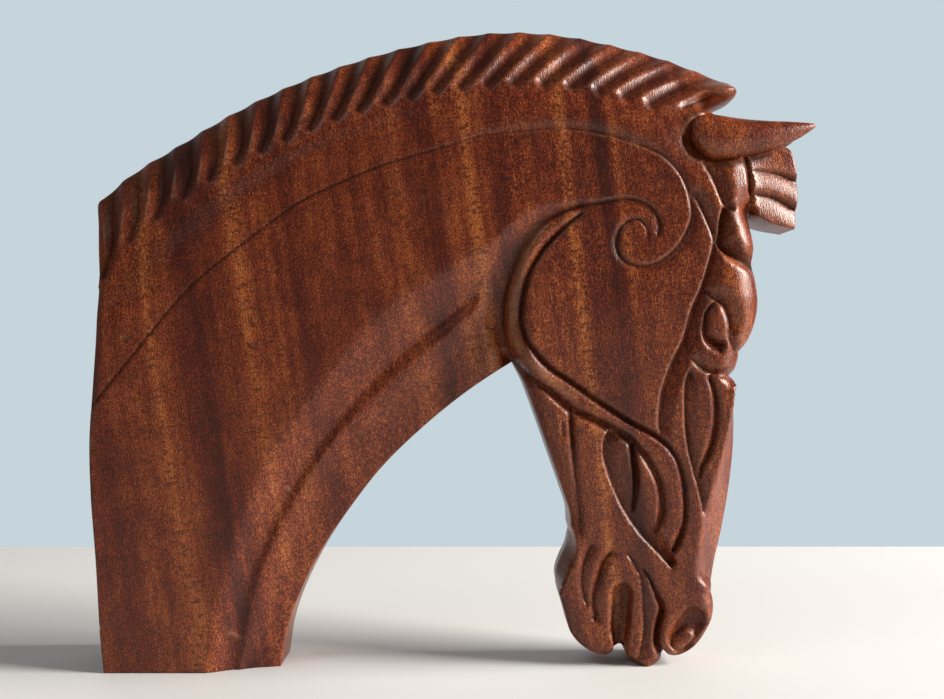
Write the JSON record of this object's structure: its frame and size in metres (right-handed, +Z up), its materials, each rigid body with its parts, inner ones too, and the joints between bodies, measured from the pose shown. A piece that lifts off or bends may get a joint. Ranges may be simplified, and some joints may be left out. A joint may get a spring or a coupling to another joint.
{
  "type": "horse head sculpture",
  "caption": "Stylised horse head and arched neck carved from one plank of reddish brown hardwood, standing on its sawn neck and its lips.",
  "frame": {"origin": "on the plane that the piece stands on, under the middle of its length and of its thickness", "axes": "+X from the back of the neck towards the face, +Y through the thickness of the plank, +Z up"},
  "size_m": [0.34, 0.06, 0.3],
  "materials": {
    "mahogany": "waxed satin, ribbon striped red brown grain"
  },
  "bodies": {
    "root": {"horse_head": "mahogany"}
  },
  "joints": []
}
